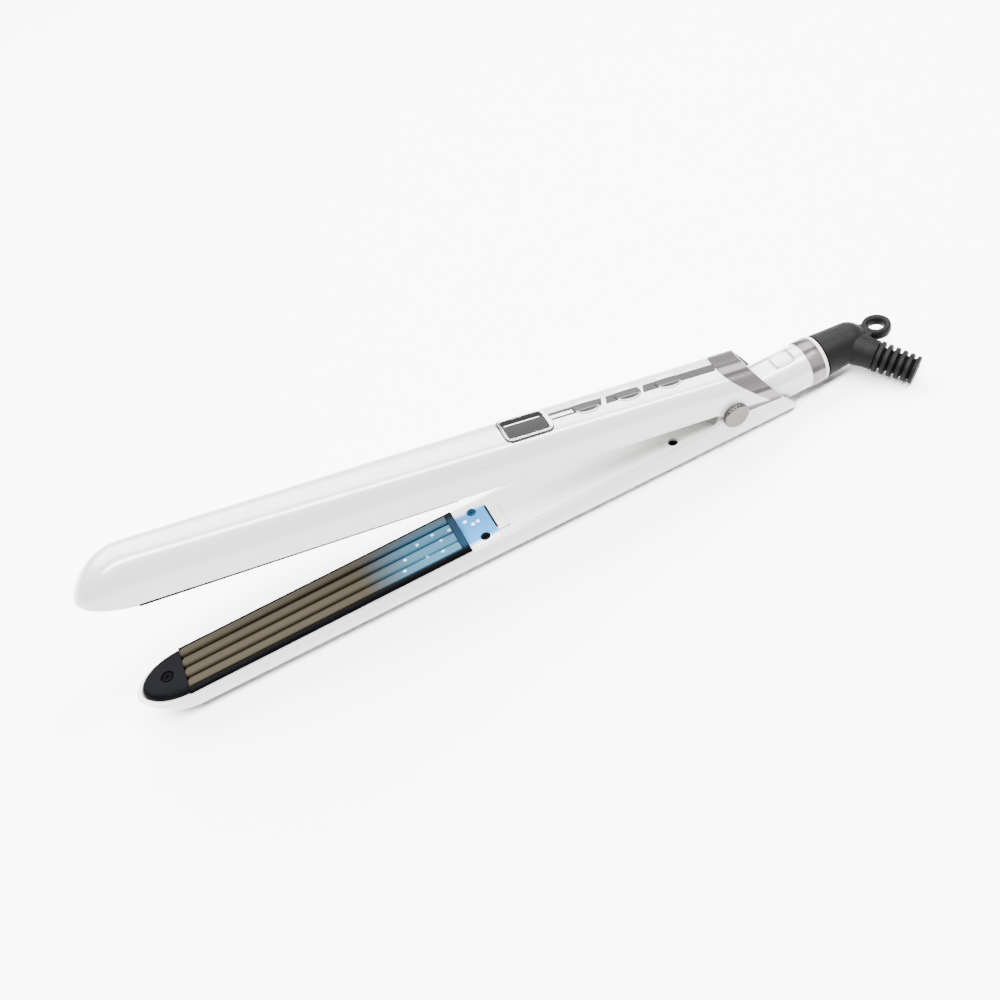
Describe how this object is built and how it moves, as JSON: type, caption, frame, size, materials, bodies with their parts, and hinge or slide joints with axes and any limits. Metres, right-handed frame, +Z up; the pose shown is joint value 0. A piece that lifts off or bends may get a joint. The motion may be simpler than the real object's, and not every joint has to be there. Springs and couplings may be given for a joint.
{
  "type": "hair crimper",
  "caption": "Hair crimper with two hinged arms, ridged heating plates, a small display, press buttons, a lock slider and a swivelling cord outlet with hanging loop.",
  "frame": {"origin": "on the surface the lower arm lies on, straight below the front edge of the crimping plates, in the plane that halves both arms", "axes": "+X along the arms from the tip to the cord outlet, +Z up, away from the resting surface; +Y completes the right-handed frame"},
  "size_m": [0.3225, 0.0424, 0.0834],
  "materials": {
    "white_shell": "high gloss white",
    "white_inner": "satin white",
    "white_button": "gloss white",
    "chrome_trim": "mirror",
    "black_plastic": "satin black",
    "black_rubber": "matte black",
    "plate_coating": "bronze ceramic coating",
    "heater_ceramic": "ceramic",
    "blue_window": "translucent blue",
    "cream_plastic": "satin cream",
    "potted_module": "potted module",
    "board_green": "solder mask",
    "screw_steel": "darkened steel",
    "pin_steel": "ground steel",
    "spring_steel": "drawn wire",
    "dark_glass": "dark glass",
    "lcd_grey": "display module",
    "silver_strip": "silver inlay",
    "bracket_nylon": "glass-filled nylon"
  },
  "bodies": {
    "lower_arm": {"lower_shell": "white_shell", "lower_tip_cap": "black_plastic", "lower_plate_holder": "black_plastic", "lower_crimp_plate": "plate_coating", "lower_heater": "heater_ceramic", "light_window": "blue_window", "ion_outlet": "cream_plastic", "ion_generator": "potted_module", "led_board": "board_green", "lower_cover": "white_inner", "lower_screws": "screw_steel", "lower_bracket": "bracket_nylon", "hinge_pin": "pin_steel", "hinge_caps": "chrome_trim", "torsion_spring": "spring_steel", "neck": "white_shell", "neck_ring": "chrome_trim", "neck_collar": "cream_plastic"},
    "upper_arm": {"upper_shell": "white_shell", "rear_trim": "chrome_trim", "upper_tip_cap": "black_plastic", "upper_plate_holder": "black_plastic", "upper_crimp_plate": "plate_coating", "upper_heater": "heater_ceramic", "upper_cover": "black_plastic", "upper_screws": "screw_steel", "upper_bracket": "bracket_nylon", "display_frame": "chrome_trim", "display_glass": "dark_glass", "display_panel": "lcd_grey", "button_strip": "silver_strip", "control_board": "board_green", "tact_switches": "black_plastic"},
    "front_key": {"front_button": "white_button"},
    "middle_key": {"middle_button": "white_button"},
    "rear_key": {"rear_button": "white_button"},
    "lock": {"lock_slider": "white_button"},
    "cord_outlet": {"swivel_elbow": "black_plastic", "strain_relief": "black_rubber"}
  },
  "joints": [
    {"name": "arm_hinge", "type": "hinge", "parent": "lower_arm", "child": "upper_arm", "pos_m": [0.225, 0, 0.0184], "axis": [0, -1, 0], "range_deg": [0, 12], "stiffness_Nm_per_rad": 0.6, "springref_deg": -40.11},
    {"name": "front_press", "type": "slide", "parent": "upper_arm", "child": "front_key", "axis": [-0.2079, 0, -0.9781], "range_m": [0, 0.0005], "stiffness_N_per_m": 400, "springref_m": -0.002},
    {"name": "middle_press", "type": "slide", "parent": "upper_arm", "child": "middle_key", "axis": [-0.2079, 0, -0.9781], "range_m": [0, 0.0005], "stiffness_N_per_m": 400, "springref_m": -0.002},
    {"name": "rear_press", "type": "slide", "parent": "upper_arm", "child": "rear_key", "axis": [-0.2079, 0, -0.9781], "range_m": [0, 0.0005], "stiffness_N_per_m": 400, "springref_m": -0.002},
    {"name": "lock_slide", "type": "slide", "parent": "lower_arm", "child": "lock", "axis": [-1, 0, 0], "range_m": [0, 0.004]},
    {"name": "cord_swivel", "type": "hinge", "parent": "lower_arm", "child": "cord_outlet", "pos_m": [0.272, 0, 0.012], "axis": [1, 0, 0], "continuous": true}
  ]
}
